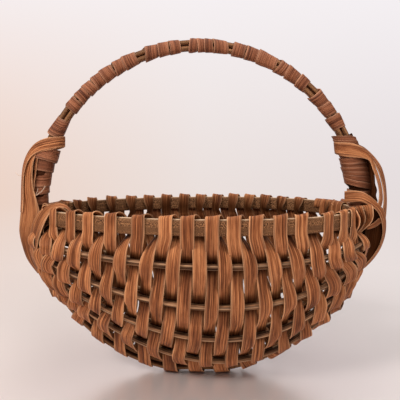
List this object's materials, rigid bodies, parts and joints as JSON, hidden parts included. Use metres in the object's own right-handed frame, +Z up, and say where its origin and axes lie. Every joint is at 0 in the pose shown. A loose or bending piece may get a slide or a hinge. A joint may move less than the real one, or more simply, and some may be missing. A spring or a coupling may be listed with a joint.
{
  "type": "gathering basket",
  "caption": "Rib basket of woven wood splints: deep boat-shaped body, flat rim hoop, tall fixed hoop handle wound with splint, and lashed ears where the hoops cross",
  "frame": {"origin": "middle of the flat on the underside of the keel, at the surface the basket stands on", "axes": "+X along the basket and in the plane of the handle hoop, -Y the front side, +Z up"},
  "size_m": [0.3439, 0.1656, 0.3085],
  "materials": {
    "hoop_rod": "bare shaved rod",
    "rim_strip": "olive brown bark side",
    "rib_rod": "grey brown weathered",
    "splint": "warm brown bare splint",
    "lashing": "warm brown bare splint"
  },
  "bodies": {
    "root": {"hoop_inner_rod": "hoop_rod", "hoop_outer_rod": "hoop_rod", "rim_hoop": "rim_strip", "front_rib_1": "rib_rod", "front_rib_2": "rib_rod", "front_rib_3": "rib_rod", "front_rib_4": "rib_rod", "back_rib_1": "rib_rod", "back_rib_2": "rib_rod", "back_rib_3": "rib_rod", "back_rib_4": "rib_rod", "woven_splint_1": "splint", "woven_splint_2": "splint", "woven_splint_3": "splint", "woven_splint_4": "splint", "woven_splint_5": "splint", "woven_splint_6": "splint", "handle_wrap_left": "lashing", "handle_wrap_right": "lashing", "left_ear_inner_layers": "lashing", "right_ear_inner_layers": "lashing", "left_ear_collar": "lashing", "right_ear_collar": "lashing", "left_ear_front_bow": "lashing", "left_ear_front_shield": "lashing", "left_ear_back_bow": "lashing", "left_ear_back_shield": "lashing", "right_ear_front_bow": "lashing", "right_ear_front_shield": "lashing", "right_ear_back_bow": "lashing", "right_ear_back_shield": "lashing"}
  },
  "joints": []
}
